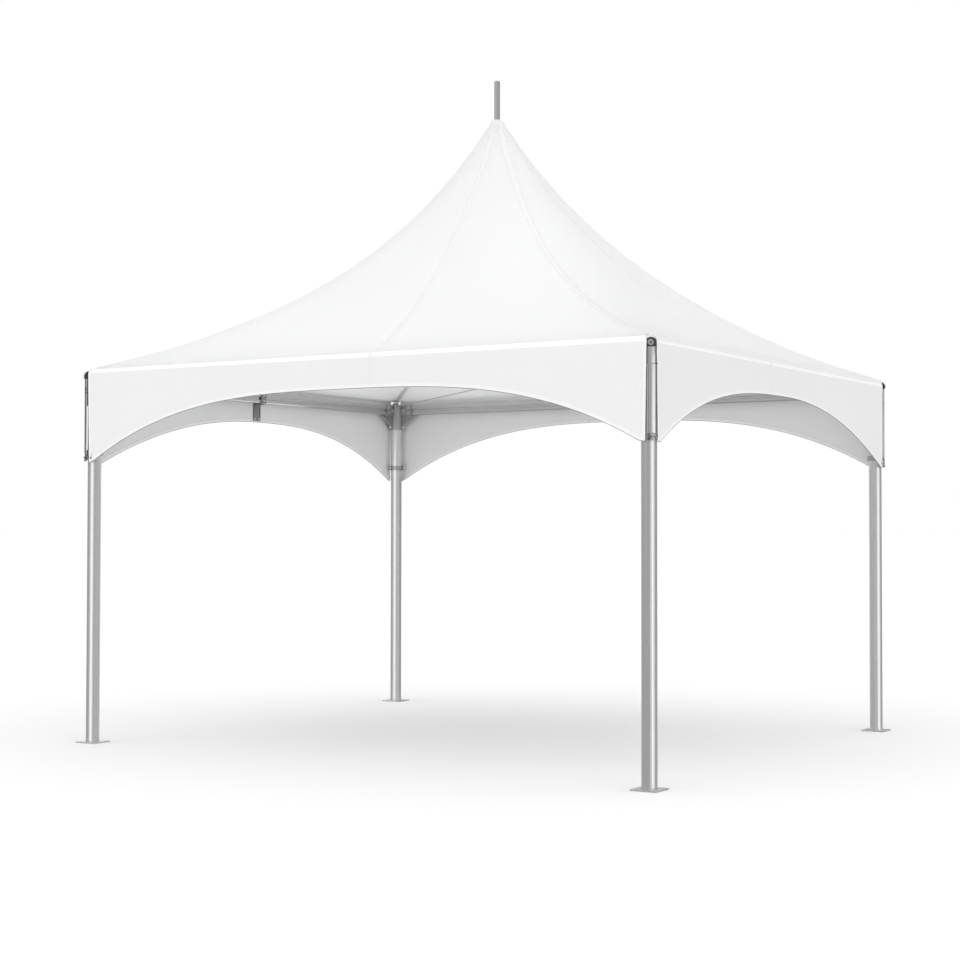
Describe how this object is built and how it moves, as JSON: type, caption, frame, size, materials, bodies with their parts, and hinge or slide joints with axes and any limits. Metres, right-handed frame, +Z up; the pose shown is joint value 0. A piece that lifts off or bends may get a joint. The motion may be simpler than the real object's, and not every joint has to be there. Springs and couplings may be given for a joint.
{
  "type": "marquee tent",
  "caption": "Open frame tent: white concave roof drawn up to a centre mast, arched valances on every side, and aluminium legs on square base plates.",
  "frame": {"origin": "on the ground, under the mast, at the centre of the four legs", "axes": "+Z up along the mast; -Y towards the wide front side; +X to the right seen from the front"},
  "size_m": [4.257, 3.647, 4.484],
  "materials": {
    "leg_aluminium": "extruded, lengthwise drawn, satin",
    "rail_aluminium": "extruded, satin, grooved",
    "track_aluminium": "extruded, satin",
    "mast_aluminium": "drawn tube, satin",
    "cast_fittings": "sand cast, tumbled",
    "plate_steel": "hot-dip galvanised",
    "wire_rope": "galvanised stranded wire",
    "roof_cloth": "white coated canopy cloth, smooth",
    "valance_cloth": "white coated canopy cloth, smooth, stitched hems"
  },
  "bodies": {
    "root": {"base_plate_front_right": "plate_steel", "base_plate_back_right": "plate_steel", "base_plate_back_left": "plate_steel", "base_plate_front_left": "plate_steel", "leg_front_right": "leg_aluminium", "leg_back_right": "leg_aluminium", "leg_back_left": "leg_aluminium", "leg_front_left": "leg_aluminium", "leg_clamp_front_right": "cast_fittings", "leg_clamp_back_right": "cast_fittings", "leg_clamp_back_left": "cast_fittings", "leg_clamp_front_left": "cast_fittings", "upper_leg_front_right": "leg_aluminium", "upper_leg_back_right": "leg_aluminium", "upper_leg_back_left": "leg_aluminium", "upper_leg_front_left": "leg_aluminium", "corner_fitting_front_right": "cast_fittings", "corner_fitting_back_right": "cast_fittings", "corner_fitting_back_left": "cast_fittings", "corner_fitting_front_left": "cast_fittings", "corner_track_front_right": "track_aluminium", "corner_track_back_right": "track_aluminium", "corner_track_back_left": "track_aluminium", "corner_track_front_left": "track_aluminium", "eave_rail_front": "rail_aluminium", "eave_rail_right": "rail_aluminium", "eave_rail_back": "rail_aluminium", "eave_rail_left": "rail_aluminium", "valance_bracket_front": "cast_fittings", "valance_bracket_right": "cast_fittings", "valance_bracket_back": "cast_fittings", "valance_bracket_left": "cast_fittings", "roof_panel_front": "roof_cloth", "roof_panel_right": "roof_cloth", "roof_panel_back": "roof_cloth", "roof_panel_left": "roof_cloth", "valance_front": "valance_cloth", "valance_right": "valance_cloth", "valance_back": "valance_cloth", "valance_left": "valance_cloth", "mast": "mast_aluminium", "mast_foot": "cast_fittings", "peak_collar": "cast_fittings", "mast_cable_front_right": "wire_rope", "mast_cable_back_right": "wire_rope", "mast_cable_back_left": "wire_rope", "mast_cable_front_left": "wire_rope"}
  },
  "joints": []
}
